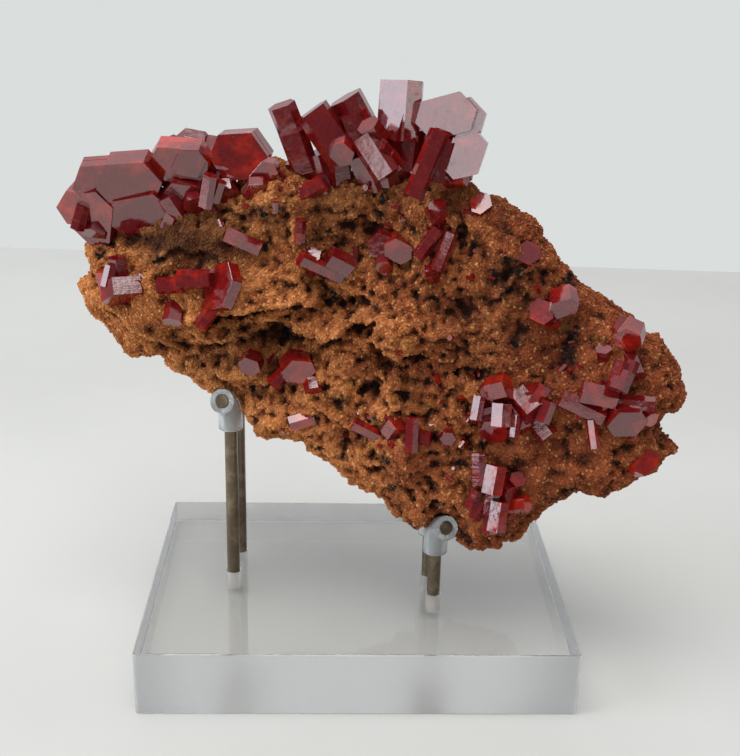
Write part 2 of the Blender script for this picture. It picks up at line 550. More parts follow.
# raised lips of the rock's layers: points from left to right, height, drop beneath, width above and beneath
LIPS = [
    ([(-37, 12.5), (-33, 14), (-27, 15), (-20, 17), (-15, 18), (-10, 19)], 1.8, 3.4, 3, 2.4),
    ([(-34.5, 7), (-30.5, 7.5), (-25, 9), (-22.5, 11.5), (-17, 15)], 1.4, 2.6, 1.6, 1.8),
    ([(-31, 11), (-25, 12.5), (-19, 14.2), (-13, 15.4)], 0.8, 1.2, 1, 1),
    ([(-13, 12), (-6, 9.5), (0.5, 15), (4, 15)], 1.5, 2.8, 2, 2.2),
    ([(-9, 17.5), (-4, 19.5), (2, 20.5), (5, 19)], 0.8, 1.4, 1.4, 1.4),
    ([(6.5, 9), (10.5, 7.5), (15, 8.5)], 1.6, 3.6, 2.6, 2.2),
    ([(31.5, 22), (33, 24.5), (36, 28.5), (41.5, 30.5), (44, 30)], 1.4, 2.2, 1.6, 1.6),
    ([(18, 43.5), (22, 37.5), (21.5, 32)], 1.8, 2.2, 1.3, 1.8),
    ([(-46, 27), (-41, 29.5), (-35, 29), (-30, 27)], 0.9, 1.4, 1.6, 1.2),
    ([(-59, 14), (-52, 9), (-45, 5), (-38, 3), (-33, -1)], 1, 0.8, 1.2, 1.2),
    ([(15.5, 15), (19.5, 13), (26, 14.5)], 0.9, 1.6, 1.4, 1.4),
    ([(-14, 43), (-15.5, 38), (-14.5, 32)], 0.9, 1.6, 1.2, 1.6),
    ([(-28, 38), (-22, 40), (-17, 38.5)], 0.8, 1.5, 1.4, 1.3),
    ([(9, -4), (13, -5.5), (18, -4.5)], 0.9, 1.6, 1.4, 1.4),
    ([(-14, -8), (-8, -7), (-2, -9.5), (4, -11.5)], 0.9, 1.5, 1.6, 1.4),
    ([(5, -19), (10, -20), (17, -19), (20, -22)], 0.8, 1.5, 1.6, 1.4),
]

# hollows: x, z, reach along x and z, depth, darkness
HOLLOWS = [
    (-18, 8.5, 6.5, 3, 3.2, 1), (-25, 3.5, 5, 2.2, 1.5, 0.5), (-18, 0.5, 3.6, 4, 2.5, 0.8),
    (-24, -5, 2.6, 1.6, 1.8, 0.9), (4.5, -2, 2.4, 1.8, 2, 0.9), (29.5, 4.5, 2.6, 2, 1.6, 0.7),
    (24, 18.5, 3.2, 3, 2, 0.7), (-1.5, 18.5, 5, 3.2, 1.8, 0.5), (-7.5, 21, 1.2, 3, 2.2, 0.9),
    (9.5, 50, 4.6, 3.2, 2.5, 1), (34, 27.5, 2.2, 3.6, 2, 0.9), (48, 12, 3.4, 4.8, 1.2, 0.2),
    (-4, 36, 8, 7, 1.2, 0.3), (-50, 29.5, 9, 2, 1.6, 0.8), (-33, 37, 7, 2.2, 1.2, 0.5),
    (13, -3, 2.4, 1.4, 1.4, 0.7), (-4, -4, 2.6, 1.8, 1.6, 0.8), (-12, 22.5, 2.5, 1.6, 1.5, 0.6),
    (4, 5, 3.5, 2.5, 1.4, 0.5), (17, 2, 3.2, 2.6, 1.5, 0.6), (-9.5, 4.5, 2.5, 2, 1.3, 0.6),
    (0, -14, 3, 1.8, 1.2, 0.5), (22, -16, 3, 2, 1, 0.4), (26, 9, 2.5, 2, 1.2, 0.5),
    (-31, 2.5, 6, 2.5, 1.2, 0.4), (-45, 8.5, 6, 2.2, 1, 0.3), (33, 36.5, 2, 2, 1.4, 0.7),
]

# bright knobs of rock: x, z, reach, height
KNOBS = [
    (10.5, 15, 5.5, 1.6), (9, -6, 3.2, 1.2), (12.5, -16, 5, 1.5), (-24, 22, 6, 0.9), (-2, 13, 3.5, 1),
    (-14, 11.5, 2.5, 1), (-9, 8, 2.6, 0.9), (-21, 43, 3.5, 1), (-12, 46, 3, 0.8), (-1, 4, 2.6, 0.8),
    (20, 8.5, 2.8, 0.9), (-10, -1.5, 2.6, 0.9), (-5, -11.5, 3.5, 0.9), (3, -18, 3.2, 0.8),
    (37, 36.5, 4, 0.9), (24, -25, 3.5, 0.8), (15, 25, 3, 0.8), (5, 22, 3, 0.9), (-33, 19, 3, 0.7),
    (28, -33, 3, 0.7), (-17, -9.5, 2.4, 0.8), (17, -9.5, 2.4, 0.7),
]

# where the rock is smooth and drusy rather than crumbly: x, z, reach along x and z
SMOOTH = [
    (46, 12, 13, 13), (48, -14, 16, 9), (30, 27, 6, 8), (-28, 3, 10, 3), (26, 42, 8, 6), (63, 5, 8, 9),
    (-50, 12, 15, 10), (-45, 30, 14, 6), (-28, 26, 12, 7), (-12, 36, 7, 6), (34, -26, 10, 7),
]

# darker patches of rock: x, z, reach along x and z, strength
SHADES = [
    (-41, 33, 13, 5.5, 0.85), (-22, 38, 8, 3.5, 0.45), (-24, 9, 9, 3, 0.5), (-2, 44, 12, 3.5, 0.5),
    (22, 44, 8, 4, 0.4), (30, 15, 9, 6, 0.35), (-6, 33, 9, 6, 0.3), (-38, 1, 9, 4, 0.3),
    (44, 22, 9, 6, 0.3), (-34, 28, 11, 4.5, 0.7),
]

# where small crystals are strewn: x, z, reach along x and z, share of the full density
SPRINKLED = [
    (26, 2, 9, 8, 1), (52, 0, 12, 8, 0.9), (28, -17, 6, 10, 1), (-52, 21, 5, 4, 0.9), (-18, 3, 6, 4, 0.7),
    (2, -9, 12, 4, 0.8), (5, 30, 8, 4, 0.6), (-40, 21, 6, 3, 0.7), (18, 33, 12, 6, 0.5),
    (-8, 44, 20, 3, 0.6), (-40, 37, 14, 3, 0.7), (38, 24, 6, 8, 0.5),
]


def lip_height(x, z, lip):
    """Height that a lip adds: rising to its crest from above, and dropping away beneath it."""
    points, height, drop, above, below = lip
    nearest, side = None, 0.0
    for (ax, az), (bx, bz) in zip(points, points[1:]):
        dx, dz = bx - ax, bz - az
        part = clamp(((x - ax) * dx + (z - az) * dz) / (dx * dx + dz * dz))
        ox, oz = x - ax - part * dx, z - az - part * dz
        away = sqrt(ox * ox + oz * oz)
        if nearest is None or away < nearest:
            nearest, side = away, dx * oz - dz * ox
            overrun = part in (0.0, 1.0)
    fade = exp(-(nearest / LIP_END) ** 2) if overrun else 1.0
    if side >= 0:
        return height * exp(-nearest / above) * fade
    crest = height * exp(-nearest / LIP_CREST)
    return (crest - drop * exp(-nearest / below) * (1 - exp(-nearest / LIP_BROW))) * fade


def sum_of_mounds(x, z, mounds):
    """Sum of round mounds, each with its middle x and z, its reach along x and z, and its height."""
    total = 0.0
    for cx, cz, rx, rz, height in mounds:
        u, w = (x - cx) / rx, (z - cz) / rz
        if u * u + w * w < 9:
            total += height * exp(-u * u - w * w)
    return total


def sculpted(p):
    """Height in millimetres that the layers, hollows and knobs add to the rock's front."""
    warp = noise.noise_vector(p / 3.1) * 1.3
    x, z = p.x + warp.x, p.z + warp.z
    total = 0.0
    for lip in LIPS:
        first, last = lip[0][0], lip[0][-1]
        if min(first[0], last[0]) - LIP_REACH < x < max(first[0], last[0]) + LIP_REACH:
            total += LIP_SCALE * lip_height(x, z, lip)
    total -= sum_of_mounds(x, z, [hollow[:5] for hollow in HOLLOWS])
    total += sum_of_mounds(x, z, [(kx, kz, reach, reach, height) for kx, kz, reach, height in KNOBS])
    return total


def clumps(p, size, seed):
    """Rounded clumps with creases between them: 1 on a clump's top, 0 in a crease."""
    warp = noise.noise_vector(p / (size * 1.3)) * 0.35
    distance = noise.voronoi(p / size + Vector((seed, seed, seed)) + warp)[0]
    return clamp(1.6 * (distance[1] - distance[0]))


def rock_relief(p, smooth):
    """Fine relief in millimetres at a point of the rock (mm, specimen axes), less where it is smooth."""
    rough = 1.0 - 0.78 * smooth
    swell = noise.noise(p / 4.2 + Vector((9, 4, 1)))
    ridge = 1.0 - abs(noise.noise(p / 2.7 + Vector((1, 6, 2)))) * 2.2
    height = (0.5 + 0.6 * rough) * swell + 0.85 * (ridge - 0.5) * rough
    height += 0.9 * (clumps(p, 2.9, 3) - 0.5) * rough
    height += 0.46 * (clumps(p, 1.35, 7) - 0.5) * (0.35 + 0.65 * rough)
    open_work = clamp(0.4 + 2.2 * noise.noise(p / 8.0 + Vector((4, 1, 8))))
    pit = max(0.0, noise.noise(p / 2.1 + Vector((2, 8, 3))) - 0.28)
    pore = max(0.0, noise.noise(p / 0.95 + Vector((7, 2, 5))) - 0.26)
    return height - (4.6 * pit * rough + 1.6 * pore * (0.3 + 0.7 * rough)) * open_work


def smoothed(points, edges, rounds):
    """The points drawn towards their neighbours' middle, again and again."""
    count = len(points)
    share = np.bincount(edges.ravel(), minlength=count)[:, None]
    result = points.copy()
    for _ in range(rounds):
        total = np.zeros_like(result)
        for axis in range(3):
            total[:, axis] = np.bincount(edges[:, 0], result[edges[:, 1], axis], count)
            total[:, axis] += np.bincount(edges[:, 1], result[edges[:, 0], axis], count)
        result = total / share
    return result


def point_array(mesh):
    """The mesh's points as rows of an array, in metres."""
    values = np.empty(len(mesh.vertices) * 3)
    mesh.vertices.foreach_get("co", values)
    return values.reshape(-1, 3)


def steady_normals(mesh):
    """The normal at each vertex: its faces' normals, summed in a fixed order."""
    count = len(mesh.polygons)
    flat = np.empty(count * 3)
    sizes = np.empty(count, dtype=np.int32)
    corners = np.empty(len(mesh.loops), dtype=np.int32)
    mesh.polygons.foreach_get("normal", flat)
    mesh.polygons.foreach_get("loop_total", sizes)
    mesh.loops.foreach_get("vertex_index", corners)
    spread = np.repeat(flat.reshape(-1, 3), sizes, axis=0)
    total = np.stack([np.bincount(corners, spread[:, k], len(mesh.vertices)) for k in range(3)], axis=1)
    return total / np.linalg.norm(total, axis=1, keepdims=True)


def hollow_values(mesh, rounds):
    """How far each point sinks below its wider surroundings (positive in a hollow), in millimetres."""
    edges = np.empty(len(mesh.edges) * 2, dtype=np.int64)
    mesh.edges.foreach_get("vertices", edges)
    edges = edges.reshape(-1, 2)
    points = point_array(mesh)
    smooth = smoothed(points, edges, rounds)
    return np.einsum("ij,ij->i", smooth - points, steady_normals(mesh)) / MM


def remeshed(mesh, voxel):
    """The mesh rebuilt from even facets of about that size."""
    return reworked(mesh, "REMESH", mode="VOXEL", voxel_size=voxel)


def thinned(mesh, faces):
    """The mesh with its least needed facets merged until about that many triangles are left."""
    return reworked(mesh, "DECIMATE", ratio=min(1.0, faces / (2 * len(mesh.polygons))))


ROCK_MARGIN = 0.25
HOLLOW_ROUNDS = 26
CREASE_ROUNDS = 5
BACK_SMOOTHNESS = 0.35
BACK_SHADE = 0.2
HOLLOW_SHADE = 0.6


def make_rock():
    """The matrix: its solid's form with fine relief, held inside the solid's box but for a small margin."""
    s = settings()
    mesh = remeshed(merged_copy("matrix"), s.rock_voxel)
    to_specimen = specimen_matrix().inverted()
    turned = to_specimen.to_3x3()
    front_way = turned.inverted() @ Vector((0, -1, 0))
    normals = [Vector(normal) for normal in steady_normals(mesh)]
    smooth_parts = [(*part, 1.0) for part in SMOOTH]
    low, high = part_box("matrix")
    margin = ROCK_MARGIN * MM
    for i, vert in enumerate(mesh.vertices):
        p = (to_specimen @ vert.co) / MM
        facing = clamp(-(turned @ normals[i]).y * 1.6)
        smooth = min(1.0, sum_of_mounds(p.x, p.z, smooth_parts)) if p.y < 0 else BACK_SMOOTHNESS
        vert.co += normals[i] * rock_relief(p, smooth) * MM
        if facing > 0 and p.y < 2:
            vert.co += front_way * sculpted(p) * facing * MM
        for axis in range(3):
            vert.co[axis] = clamp(vert.co[axis], low[axis] - margin, high[axis] + margin)
    mesh = thinned(remeshed(mesh, s.rock_voxel), s.rock_faces)
    dark = [(*hollow[:4], HOLLOW_SHADE * hollow[5]) for hollow in HOLLOWS] + SHADES
    black, warm, shade = [], [], []
    for vert in mesh.vertices:
        p = (to_specimen @ vert.co) / MM
        black.append(blackness(p) if p.y < 0 else 0.0)
        warm.append(clamp(0.66 - p.x / 60.0 + 0.5 * noise.noise(p / 11.0)))
        ragged = p + noise.noise_vector(p / 2.4) * 1.8
        shade.append(min(1.0, sum_of_mounds(ragged.x, ragged.z, dark)) if p.y < 0 else BACK_SHADE)
    for name, values in (("hollow", hollow_values(mesh, HOLLOW_ROUNDS)),
                         ("crease", hollow_values(mesh, CREASE_ROUNDS)),
                         ("black", black), ("warm", warm), ("shade", shade)):
        store_values(mesh, name, values)
    mesh.name = "matrix_rock"
    mesh.shade_smooth()
    return add_piece("matrix_rock", mesh, rock_material("brown_rock"), ("matrix",))


def blackness(p):
    """How black the oxide is at a point of the rock's front."""
    best = 0.0
    for x, z, radius in BLACK_SPOTS:
        away = sqrt((p.x - x) ** 2 + (p.z - z) ** 2)
        if away < 2 * radius:
            ragged = away + 2.2 * noise.noise(p / 0.9) + 0.8 * noise.noise(p / 0.4)
            best = max(best, 1.0 - clamp((ragged - 0.45 * radius) / (0.3 * radius)))
    return best


# ---------------------------------------------------------------- the grains on the rock
GRAIN_SPACING = 0.22
GRAIN_BLOCK = (1.0, 0.8, 0.7)
GRAIN_SEED = 1
SMALL_CRYSTAL_SPACING = 0.9
SMALL_CRYSTAL_RADIUS = 0.5
SMALL_CRYSTAL_LENGTH = 1.7
SMALL_CRYSTAL_SIZES = (0.5, 1.6)
SMALL_CRYSTAL_SEED = 3
SIZE_SEED = 5
TINT_SEED = 9
FULL_TURN = (6.28, 6.28, 6.28)


def strewing_tree(name, material, amount_name, tone_name, spacing, prisms):
    """Geometry nodes that strew small blocks or six-sided prisms over a surface."""
    tree = bpy.data.node_groups.new(name, "GeometryNodeTree")
    tree.interface.new_socket("Rock", in_out="INPUT", socket_type="NodeSocketGeometry")
    for label, kind in (("Density", "NodeSocketFloat"), ("Smallest", "NodeSocketFloat"),
                        ("Largest", "NodeSocketFloat"), ("Seed", "NodeSocketInt")):
        tree.interface.new_socket(label, in_out="INPUT", socket_type=kind)
    tree.interface.new_socket("Grains", in_out="OUTPUT", socket_type="NodeSocketGeometry")

    def node(kind, inputs=None, **options):
        made = tree.nodes.new(kind)
        for key, value in options.items():
            setattr(made, key, value)
        for key, value in (inputs or {}).items():
            if isinstance(value, bpy.types.NodeSocket):
                tree.links.new(value, made.inputs[key])
            else:
                made.inputs[key].default_value = value
        return made

    entry = node("NodeGroupInput")
    amount = node("GeometryNodeInputNamedAttribute", {"Name": amount_name}, data_type="FLOAT")
    points = node("GeometryNodeDistributePointsOnFaces",
                  {"Mesh": entry.outputs["Rock"], "Distance Min": spacing,
                   "Density Max": entry.outputs["Density"], "Density Factor": amount.outputs["Attribute"],
                   "Seed": entry.outputs["Seed"]}, distribute_method="POISSON")
    if prisms:
        grain = node("GeometryNodeMeshCylinder", {"Vertices": 6, "Radius": SMALL_CRYSTAL_RADIUS * MM,
                                                  "Depth": SMALL_CRYSTAL_LENGTH * MM})
    else:
        grain = node("GeometryNodeMeshCube", {"Size": tuple(side * MM for side in GRAIN_BLOCK)})
    turn = node("FunctionNodeRandomValue", {"Max": FULL_TURN, "Seed": entry.outputs["Seed"]},
                data_type="FLOAT_VECTOR")
    size = node("FunctionNodeRandomValue", {2: entry.outputs["Smallest"], 3: entry.outputs["Largest"],
                                            "Seed": SIZE_SEED}, data_type="FLOAT")
    placed = node("GeometryNodeInstanceOnPoints",
                  {"Points": points.outputs["Points"], "Instance": grain.outputs["Mesh"],
                   "Rotation": turn.outputs["Value"], "Scale": size.outputs[1]})
    tint = node("FunctionNodeRandomValue", {"Seed": TINT_SEED}, data_type="FLOAT")
    tinted = node("GeometryNodeStoreNamedAttribute",
                  {"Geometry": placed.outputs["Instances"], "Name": tone_name, "Value": tint.outputs[1]},
                  data_type="FLOAT", domain="INSTANCE")
    real = node("GeometryNodeRealizeInstances", {"Geometry": tinted.outputs["Geometry"]})
    dressed = node("GeometryNodeSetMaterial", {"Geometry": real.outputs["Geometry"], "Material": material})
    leave = node("NodeGroupOutput")
    tree.links.new(dressed.outputs["Geometry"], leave.inputs["Grains"])
    return tree


def strewn(mesh, tree, values):
    """What the tree strews over the mesh, as a plain mesh."""
    carrier = add_object("carrier", mesh)
    strew = carrier.modifiers.new("strew", "NODES")
    strew.node_group = tree
    ids = {item.name: item.identifier for item in tree.interface.items_tree if item.in_out == "INPUT"}
    for name, value in values.items():
        strew[ids[name]] = value
    carrier.update_tag()
    result = evaluated_mesh(carrier)
    bpy.data.objects.remove(carrier, do_unlink=True)
    return result


def make_grains(rock):
    """Strews the rock with grains, in a few pieces so that none grows too large."""
    s = settings()
    mesh = rock.data.copy()
    to_specimen = specimen_matrix().inverted()
    grainy, sprinkled = [], []
    for vert, hollow in zip(mesh.vertices, mesh.attributes["hollow"].data):
        p = (to_specimen @ vert.co) / MM
        front = 1.0 if p.y < 1 else 0.3
        grainy.append(front * clamp(0.9 - hollow.value, 0.15))
        sprinkled.append(min(1.0, sum_of_mounds(p.x, p.z, SPRINKLED)) if p.y < -3 else 0.0)
    store_values(mesh, "grainy", grainy)
    store_values(mesh, "sprinkled", sprinkled)
    material = rock_material("brown_grains")
    tree = strewing_tree("grains", material, "grainy", "tint", GRAIN_SPACING * MM, False)
    for batch in range(s.grain_batches):
        values = {"Density": s.grain_density, "Smallest": s.grain_smallest / MM,
                  "Largest": s.grain_largest / MM, "Seed": batch + GRAIN_SEED}
        grains = strewn(mesh, tree, values)
        add_piece("matrix_grains_%d" % (batch + 1), grains, material, ())
    small = crystal_material("small_vanadinite", tuple(s.crystal_deep), SMALL_CRYSTAL_RED, 0.2)
    tree = strewing_tree("sprinkling", small, "sprinkled", "tone", SMALL_CRYSTAL_SPACING * MM, True)
    smallest, largest = SMALL_CRYSTAL_SIZES
    values = {"Density": s.sprinkle_density, "Smallest": smallest, "Largest": largest,
              "Seed": SMALL_CRYSTAL_SEED}
    add_piece("small_vanadinites", strewn(mesh, tree, values), small, ())


# ---------------------------------------------------------------- the crystals
BAND_LENGTH = 2.6
MOST_BANDS = 5
BAND_SHIFT = 0.3
BAND_STEP = 0.012
TONE_SPREAD = 0.22
SHARP_ANGLE = 25


def hexagon(widths, spin):
    """Corners of a hexagon whose sides stay at 60 degrees, at unequal widths across."""
    corners = []
    for k in range(6):
        a, b = radians(spin + 60 * k), radians(spin + 60 * (k + 1))
        half_a, half_b = widths[k % 3] / 2, widths[(k + 1) % 3] / 2
        turn = cos(a) * sin(b) - sin(a) * cos(b)
        corners.append(((half_a * sin(b) - half_b * sin(a)) / turn,
                        (half_b * cos(a) - half_a * cos(b)) / turn))
    return corners


def crystal_axes(heading, rise):
    """The way of a crystal's free end, and two ways across it."""
    h, r = radians(heading), radians(rise)
    axis = Vector((cos(r) * cos(h), -sin(r), cos(r) * sin(h)))
    across = Vector((-sin(h), 0, cos(h)))
    return axis, across, axis.cross(across)


def add_crystal(form, tone_layer, along_layer, row, dice):
    """One prism, built as stacked growth bands of slightly different width."""
    x, z, front, width, length, heading, rise, spin, brightness = row
    widths = width if isinstance(width, tuple) else (width, width, width)
    axis, across, other = crystal_axes(heading, rise)
    end = Vector((x, -front, z))
    size = sum(widths) / 3
    bands = clamp(round(length / BAND_LENGTH), 1, MOST_BANDS)
    cuts = [0.0]
    for k in range(1, bands):
        cuts.append(length * (k + dice.uniform(-BAND_SHIFT, BAND_SHIFT)) / bands)
    cuts.append(length)
    place = specimen_matrix()
    rings = []
    step = BAND_STEP * size
    for k in range(len(cuts) - 1):
        swell = dice.uniform(-step, step) if k else 0.0
        grown = tuple(w + swell + dice.uniform(-step, step) * 0.5 for w in widths)
        for back in (cuts[k], cuts[k + 1]):
            middle = end - axis * back
            rings.append([form.verts.new(place @ ((middle + across * u + other * v) * MM))
                          for u, v in hexagon(grown, spin)])
    faces = [form.faces.new(rings[0]), form.faces.new(rings[-1][::-1])]
    for low, high in zip(rings, rings[1:]):
        for k in range(6):
            n = (k + 1) % 6
            faces.append(form.faces.new((low[n], low[k], high[k], high[n])))
    shift = dice.uniform(0.0, 50.0)
    for i, ring in enumerate(rings):
        for vert in ring:
            vert[along_layer] = shift + cuts[(i + 1) // 2]
            vert[tone_layer] = clamp(brightness + dice.uniform(-TONE_SPREAD, TONE_SPREAD))
    bmesh.ops.recalc_face_normals(form, faces=faces)
    sharp = [e for f in faces for e in f.edges if e.calc_face_angle(0) > radians(SHARP_ANGLE)]
    bmesh.ops.bevel(form, geom=list(set(sharp)), offset=settings().edge_width, segments=1, affect="EDGES",
                    clamp_overlap=True)


def make_crystal_group(name, rows, material, seed):
    """The crystals that stand for one solid, as one piece."""
    dice = Random(seed)
    form = bmesh.new()
    form.verts.layers.float.new("tone")
    form.verts.layers.float.new("along")
    layers = form.verts.layers.float
    for row in rows:
        add_crystal(form, layers["tone"], layers["along"], row, dice)
    mesh = mesh_of(form, name)
    return add_piece(name.replace("crystal", "vanadinite"), mesh, material, (name,))


# ---------------------------------------------------------------- the stand
FLAT_AREA = 0.0001
CORNER_ROUND = 0.9
RIM_ROUND = 0.35
HOLE_SIDES = 40
DRILL_OVERRUN = 4
SIDE_SHARE = 0.985
BEND_STEPS = 14
ROD_CHAMFER = 0.15
SLEEVE_CHAMFER = 0.12
SLEEVE_BORE = ROD_RADIUS + 0.12
TUBE_EDGE = 35


def rounded_block():
    form = bmesh.new()
    bmesh.ops.create_cube(form, size=1.0)
    bmesh.ops.scale(form, vec=Vector((BLOCK_WIDTH, BLOCK_DEPTH, BLOCK_HEIGHT)) * MM, verts=form.verts)
    bmesh.ops.translate(form, vec=(0, 0, BLOCK_HEIGHT / 2 * MM), verts=form.verts)
    upright = [e for e in form.edges if abs((e.verts[0].co - e.verts[1].co).z) > MM]
    bmesh.ops.bevel(form, geom=upright, offset=CORNER_ROUND * MM, segments=4, profile=0.5, affect="EDGES")
    level = [e for e in form.edges if abs((e.verts[0].co - e.verts[1].co).z) < 0.1 * MM
             and e.calc_face_angle(0) > radians(60)]
    bmesh.ops.bevel(form, geom=level, offset=RIM_ROUND * MM, segments=3, profile=0.5, affect="EDGES")
    return mesh_of(form, "block_form")


def drill(x, y):
    form = bmesh.new()
    length = HOLE_DEPTH + DRILL_OVERRUN
    radius = (ROD_RADIUS + FIT_GAP) * MM
    middle = Vector((x, y, BLOCK_HEIGHT - HOLE_DEPTH + length / 2)) * MM
    bmesh.ops.create_cone(form, cap_ends=True, segments=HOLE_SIDES, radius1=radius, radius2=radius,
                          depth=length * MM)
    bmesh.ops.translate(form, vec=middle, verts=form.verts)
    return add_object("drill", mesh_of(form, "drill"))


def make_block():
    """The clear slab with its four holes, frosted on its sides."""
    block = add_object("block_form", rounded_block())
    for x, y, _start, _heading in PRONGS.values():
        cutter = drill(x, y)
        cut = block.modifiers.new("hole", "BOOLEAN")
        cut.operation = "DIFFERENCE"
        cut.solver = "EXACT"
        cut.object = cutter
        mesh = evaluated_mesh(block)
        block.modifiers.clear()
        block.data = mesh
        bpy.data.objects.remove(cutter, do_unlink=True)
    mesh = block.data
    bpy.data.objects.remove(block, do_unlink=True)
    mesh.name = "clear_block"
    frost = mesh.attributes.new("frost", "FLOAT", "FACE")
    half_x, half_y = BLOCK_WIDTH / 2 * MM, BLOCK_DEPTH / 2 * MM
    values = []
    for face in mesh.polygons:
        side = max(abs(face.center.x) / half_x, abs(face.center.y) / half_y) > SIDE_SHARE
        values.append(1.0 if side and abs(face.normal.z) < 0.5 else 0.0)
    frost.data.foreach_set("value", values)
    for face in mesh.polygons:
        face.use_smooth = face.area < FLAT_AREA
    return add_piece("clear_block", mesh, acrylic_material(), ("acrylic_block",))


def prong_path(prong, first):
    """Centre points and directions of a prong from its first height up and round the bend to its tip."""
    x, y, start, heading = prong
    out = Vector((cos(radians(heading)), sin(radians(heading)), 0))
    foot = Vector((x, y, 0))
    stations = [(foot + Vector((0, 0, first)), Vector((0, 0, 1)))]
    for step in range(BEND_STEPS + 1):
        angle = radians(BEND_ANGLE) * step / BEND_STEPS
        centre = foot + out * BEND_RADIUS * (1 - cos(angle))
        centre.z = start + BEND_RADIUS * sin(angle)
        stations.append((centre, out * sin(angle) + Vector((0, 0, cos(angle)))))
    centre, direction = stations[-1]
    stations.append((centre + direction * ROD_TIP, direction))
    return stations, out


def ring_points(centre, direction, side, radius):
    """A ring of points about a centre, in metres."""
    sides = settings().tube_sides
    other = direction.cross(side)
    turns = [2 * pi * k / sides for k in range(sides)]
    return [(centre + (side * cos(t) + other * sin(t)) * radius) * MM for t in turns]


def ring_mesh(name, rings, closed):
    """A skin over rings of points; closed joins the last ring to the first, else both ends are capped."""
    sides = len(rings[0])
    points = [p for ring in rings for p in ring]
    faces = []
    for i in range(len(rings) if closed else len(rings) - 1):
        low, high = i * sides, ((i + 1) % len(rings)) * sides
        for k in range(sides):
            n = (k + 1) % sides
            faces.append((low + k, low + n, high + n, high + k))
    if not closed:
        faces.append(tuple(reversed(range(sides))))
        last = (len(rings) - 1) * sides
        faces.append(tuple(range(last, last + sides)))
    mesh = bpy.data.meshes.new(name)
    mesh.from_pydata(points, [], faces)
    mesh.shade_smooth()
    mesh.set_sharp_from_angle(angle=radians(TUBE_EDGE))
    return mesh


def make_rod(name, prong, material):
    stations, out = prong_path(prong, BLOCK_HEIGHT - HOLE_DEPTH + FIT_GAP)
    side = out.cross(Vector((0, 0, 1)))
    first, up = stations[0]
    last, ahead = stations[-1]
    slim = ROD_RADIUS - ROD_CHAMFER
    rings = [ring_points(first, up, side, slim), ring_points(first + up * ROD_CHAMFER, up, side, ROD_RADIUS)]
    rings += [ring_points(centre, direction, side, ROD_RADIUS) for centre, direction in stations[1:-1]]
    rings += [ring_points(last - ahead * ROD_CHAMFER, ahead, side, ROD_RADIUS),
              ring_points(last, ahead, side, slim)]
    mesh = ring_mesh("rod", rings, False)
    return add_piece("bronzed_rod_" + name, mesh, material, ("rod_" + name,))


def make_sleeve(name, prong, material):
    stations, out = prong_path(prong, prong[2] + SLEEVE_START)
    side = out.cross(Vector((0, 0, 1)))
    foot, up = stations[0]
    tip, ahead = stations[-1]
    wall = [(foot + up * SLEEVE_CHAMFER, up), *stations[1:-1], (tip - ahead * SLEEVE_CHAMFER, ahead)]
    outer = [ring_points(centre, direction, side, SLEEVE_RADIUS) for centre, direction in wall]
    inner = [ring_points(centre, direction, side, SLEEVE_BORE) for centre, direction in reversed(wall)]
    slim, wide = SLEEVE_RADIUS - SLEEVE_CHAMFER, SLEEVE_BORE + SLEEVE_CHAMFER
    end = [ring_points(tip, ahead, side, radius) for radius in (slim, wide)]
    start = [ring_points(foot, up, side, radius) for radius in (wide, slim)]
    mesh = ring_mesh("sleeve", outer + end + inner + start, True)
    return add_piece("vinyl_sleeve_" + name, mesh, material, ("sleeve_" + name,))


# ---------------------------------------------------------------- floor, light and camera
CAMERA_PLACE = (-7.0, -265.2, 167.6)
CAMERA_PITCH = 20.52
CAMERA_YAW = 2.03
CAMERA_ROLL = 1.37
CAMERA_LENS = 56.25
CAMERA_SENSOR = 36.0
ROOM_DIM = 0.10
ROOM_BRIGHT = 0.75
ROOM_BEHIND = 0.52
ROOM_COLOUR = (0.93, 0.96, 1.0)
BACKDROP = (0.70, 0.73, 0.725)
TABLE_DROP = -0.1
TABLE_NEAR = -0.20
TABLE_HALF = 0.8
TABLE_FAR_LEFT = (-TABLE_HALF, 0.4295)
TABLE_FAR_RIGHT = (TABLE_HALF, 0.3105)

# lights: name, place, target, width and height (metres), power, colour
LIGHTS = [
    ("overhead", (-0.15, -0.25, 1.1), (0, 0, 0.05), (1.0, 0.6), 6.9, (1.0, 0.98, 0.96)),
    ("window", (-0.92, -0.25, 0.38), (0, 0, 0.08), (0.55, 0.7), 5.2, (0.82, 0.90, 1.0)),
    ("doorway", (-0.27, -0.95, 0.26), (0, 0, 0.10), (0.5, 0.36), 1.5, (0.95, 0.97, 1.0)),
    ("far_window", (0.76, -0.68, 0.26), (0, 0, 0.15), (0.18, 0.12), 0.14, (1.0, 0.96, 0.95)),
]


def place_camera():
    """The viewer's place: in front, above, and looking down a little."""
    pitch, yaw, roll = radians(CAMERA_PITCH), radians(CAMERA_YAW), radians(CAMERA_ROLL)
    ahead = Vector((sin(yaw) * cos(pitch), cos(yaw) * cos(pitch), -sin(pitch)))
    right = Vector((cos(yaw), -sin(yaw), 0))
    up = right.cross(ahead)
    right, up = right * cos(roll) + up * sin(roll), up * cos(roll) - right * sin(roll)
    data = bpy.data.cameras.new("camera")
    data.lens = CAMERA_LENS
    data.sensor_width = CAMERA_SENSOR
    data.clip_start = 0.01
    camera = add_object("camera", data)
    camera.matrix_world = Matrix.Translation(Vector(CAMERA_PLACE) * MM) @ Matrix((
        (right.x, up.x, -ahead.x, 0), (right.y, up.y, -ahead.y, 0), (right.z, up.z, -ahead.z, 0),
        (0, 0, 0, 1)))
    bpy.context.scene.camera = camera


